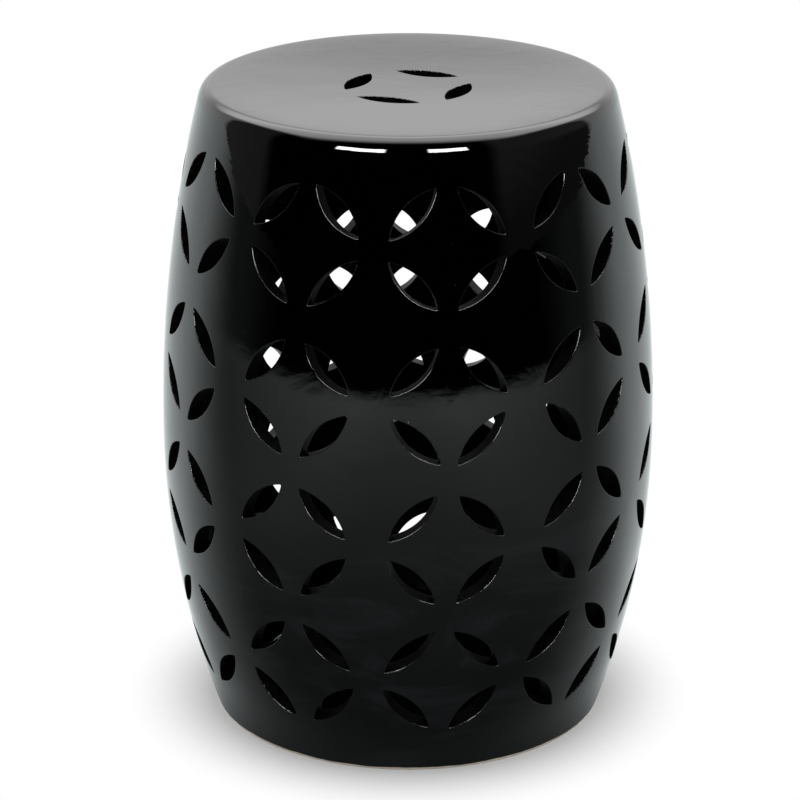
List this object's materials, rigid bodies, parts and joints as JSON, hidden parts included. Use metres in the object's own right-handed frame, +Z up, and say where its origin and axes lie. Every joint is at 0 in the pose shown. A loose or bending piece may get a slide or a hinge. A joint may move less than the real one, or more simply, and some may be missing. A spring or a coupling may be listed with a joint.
{
  "type": "ceramic garden stool",
  "caption": "Drum-shaped garden stool of black-glazed ceramic, hollow, with a pierced lattice of petal rings round its wall and one ring through its seat.",
  "frame": {"origin": "on the floor, on the drum's axis, at the bottom centre of its bounding box", "axes": "+Z up along the drum's axis; -Y is the front, where a column of petal rings faces; +X is to the right seen from the front"},
  "size_m": [0.3484, 0.3484, 0.457],
  "materials": {
    "black_glaze": "glossy",
    "foot_clay": "glossy above, bare clay on the resting rim"
  },
  "bodies": {
    "root": {"seat_disc": "black_glaze", "upper_wall": "black_glaze", "lower_wall": "black_glaze", "foot_ring": "foot_clay"}
  },
  "joints": []
}
